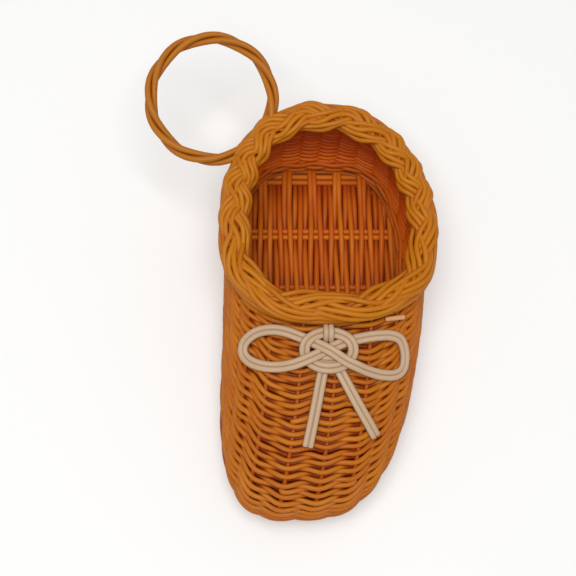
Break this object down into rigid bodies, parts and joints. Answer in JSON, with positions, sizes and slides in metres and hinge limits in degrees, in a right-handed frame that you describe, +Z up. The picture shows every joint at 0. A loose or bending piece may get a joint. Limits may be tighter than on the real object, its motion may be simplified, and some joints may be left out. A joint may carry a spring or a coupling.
{
  "type": "woven cane slipper",
  "caption": "Left slipper woven in round cane, with a flat woven sole, a plaited border round its mouth, a doubled white cane bow on the vamp and a twisted hanging ring at the heel.",
  "frame": {"origin": "on the floor under the middle of the sole's length, on the line through the heel's middle", "axes": "+Z up, the toe points along -Y and the heel along +Y, +X is the outer side of the left foot and -X its inner side"},
  "size_m": [0.096, 0.1578, 0.0511],
  "materials": {
    "sole_cane": "varnished cane",
    "weave_cane": "varnished cane",
    "border_cane": "varnished cane",
    "white_cane": "bleached cane",
    "ring_cane": "varnished cane"
  },
  "bodies": {
    "root": {"sole": "sole_cane", "upper": "weave_cane", "border": "border_cane", "bow_knot": "white_cane", "bow_loop_medial": "white_cane", "bow_loop_lateral": "white_cane", "bow_tail_medial": "white_cane", "bow_tail_lateral": "white_cane", "hanging_ring": "ring_cane"}
  },
  "joints": []
}
